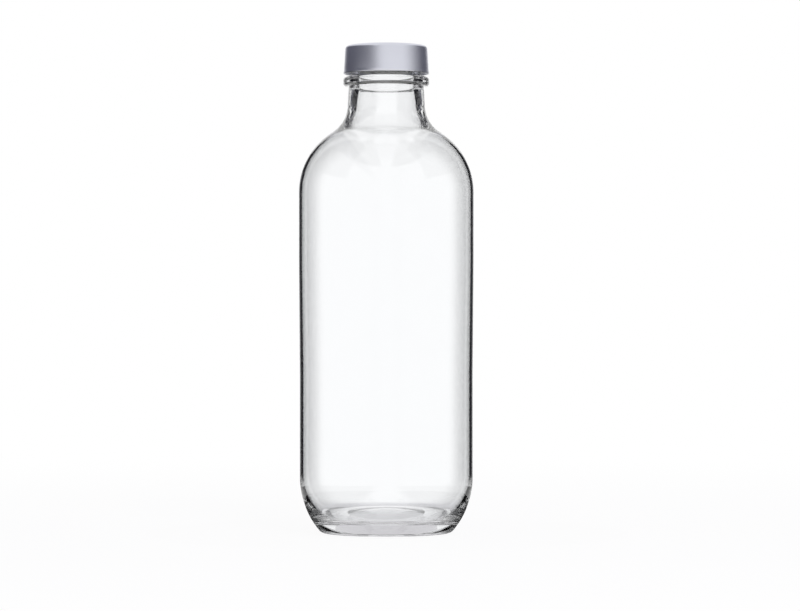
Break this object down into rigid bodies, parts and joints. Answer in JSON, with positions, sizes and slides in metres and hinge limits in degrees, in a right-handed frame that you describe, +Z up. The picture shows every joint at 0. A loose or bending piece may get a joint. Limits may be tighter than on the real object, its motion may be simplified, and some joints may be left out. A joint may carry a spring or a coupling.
{
  "type": "bottle",
  "caption": "Clear round glass bottle with a straight body, domed shoulder, short beaded neck and a satin metal screw cap.",
  "frame": {"origin": "on the bottle's axis, in the plane of the bearing ring that it stands on", "axes": "+Z up along the bottle's axis towards the cap; the bottle is round, so X and Y are any pair across it"},
  "size_m": [0.0874, 0.0874, 0.2432],
  "materials": {
    "clear_glass": "clear, polished, slightly grey where thick",
    "foam_liner": "closed-cell polyethylene foam, matt",
    "white_plastic": "moulded polypropylene, semi-matt",
    "satin_metal": "satin silver, drawn sheet"
  },
  "bodies": {
    "bottle": {"glass_bottle": "clear_glass"},
    "liner": {"cap_liner": "foam_liner"},
    "cap": {"cap_insert": "white_plastic", "cap_shell": "satin_metal"}
  },
  "joints": [
    {"name": "cap_lift", "type": "slide", "parent": "bottle", "child": "liner", "axis": [0, 0, 1], "range_m": [0, 0.01694]},
    {"name": "cap_turn", "type": "hinge", "parent": "liner", "child": "cap", "pos_m": [0, 0, 0.236], "axis": [0, 0, 1], "range_deg": [0, 1440]}
  ],
  "couplings": [
    {"joint": "cap_lift", "follows": "cap_turn", "m_per_rad": 0.00067376}
  ]
}
